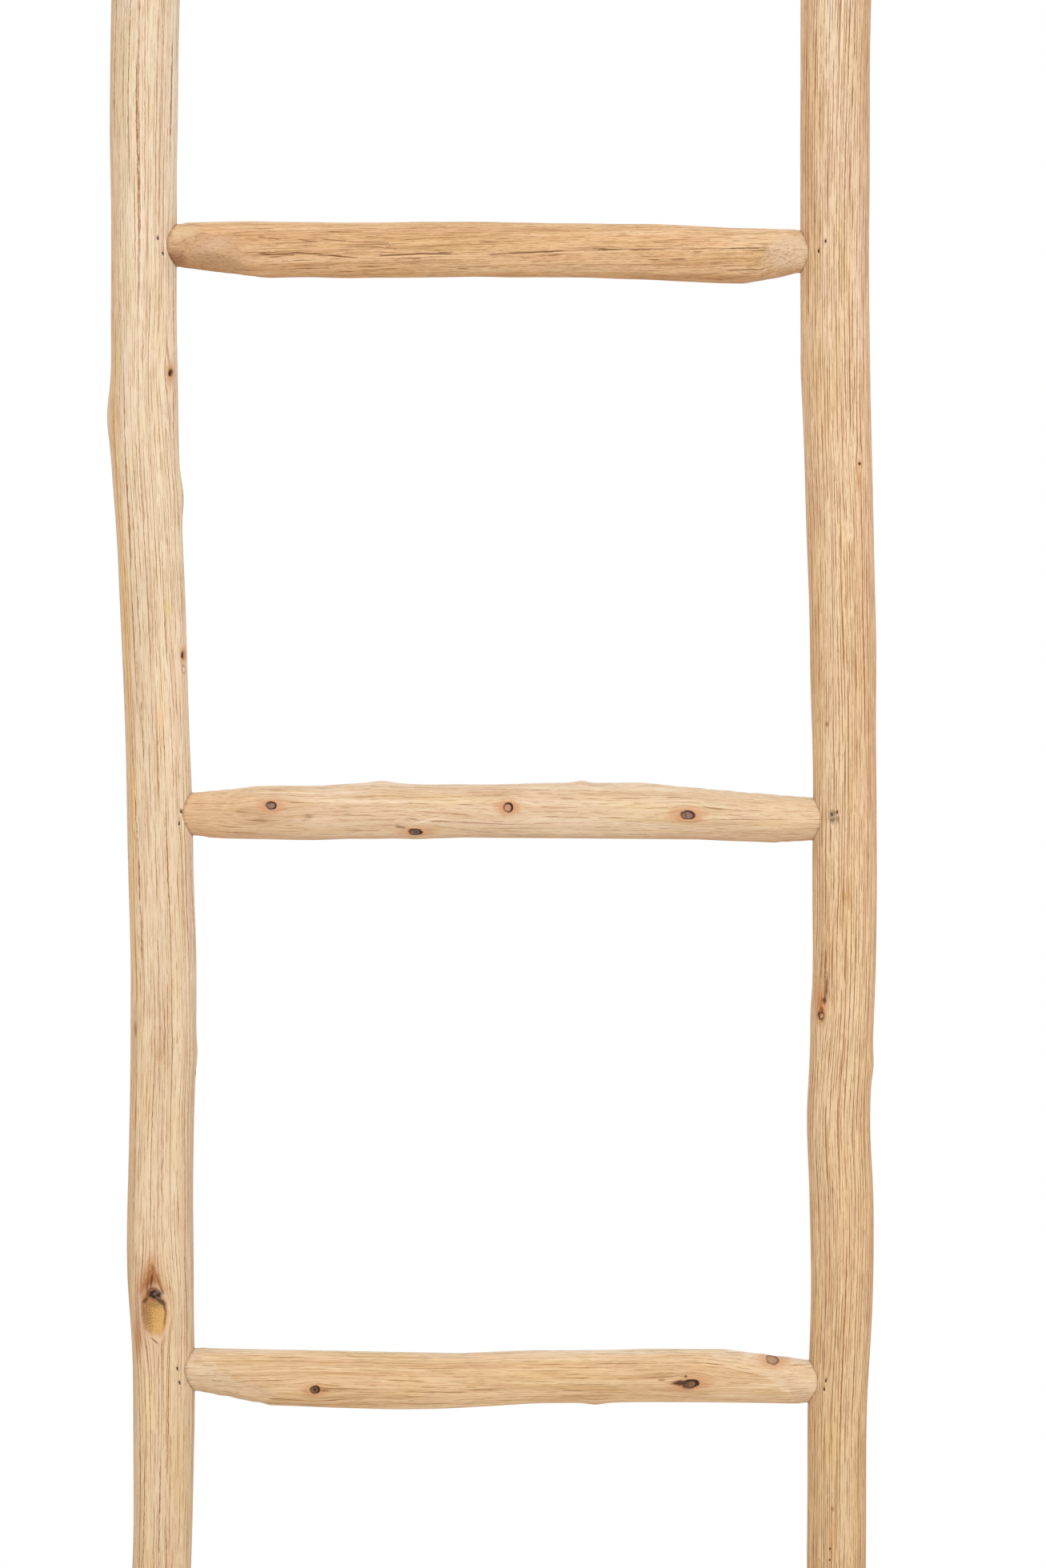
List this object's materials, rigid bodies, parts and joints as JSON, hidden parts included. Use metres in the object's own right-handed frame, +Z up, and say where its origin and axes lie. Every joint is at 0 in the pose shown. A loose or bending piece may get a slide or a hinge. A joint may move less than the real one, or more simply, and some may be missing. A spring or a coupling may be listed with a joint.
{
  "type": "decorative ladder",
  "caption": "Rustic decorative ladder of peeled branch poles: hewn, tapered rungs plugged into round sockets in gently bent rails and pinned with brads.",
  "frame": {"origin": "on the floor, midway across the ladder's width and midway through its depth", "axes": "+Z up along the rails, +X to the right seen from the front, -Y out of the front, where the brads are driven"},
  "size_m": [0.5, 0.0524, 1.8],
  "materials": {
    "pale_wood": "peeled, lightly sanded, unfinished",
    "tan_wood": "peeled, lightly sanded, unfinished",
    "straw_wood": "peeled, lightly sanded, unfinished",
    "beige_wood": "peeled, lightly sanded, unfinished",
    "honey_wood": "peeled, lightly sanded, unfinished",
    "dark_steel": "dull, sunk below the wood"
  },
  "bodies": {
    "root": {"left_rail": "pale_wood", "right_rail": "tan_wood", "rung_1": "straw_wood", "rung_2": "straw_wood", "rung_3": "beige_wood", "rung_4": "honey_wood", "rung_5": "beige_wood", "brad_left_1_upper": "dark_steel", "brad_left_1_lower": "dark_steel", "brad_right_1_upper": "dark_steel", "brad_right_1_lower": "dark_steel", "brad_left_2_upper": "dark_steel", "brad_left_2_lower": "dark_steel", "brad_right_2_upper": "dark_steel", "brad_right_2_lower": "dark_steel", "brad_left_3_upper": "dark_steel", "brad_left_3_lower": "dark_steel", "brad_right_3_upper": "dark_steel", "brad_right_3_lower": "dark_steel", "brad_left_4_upper": "dark_steel", "brad_left_4_lower": "dark_steel", "brad_right_4_upper": "dark_steel", "brad_right_4_lower": "dark_steel", "brad_left_5_upper": "dark_steel", "brad_left_5_lower": "dark_steel", "brad_right_5_upper": "dark_steel", "brad_right_5_lower": "dark_steel"}
  },
  "joints": []
}
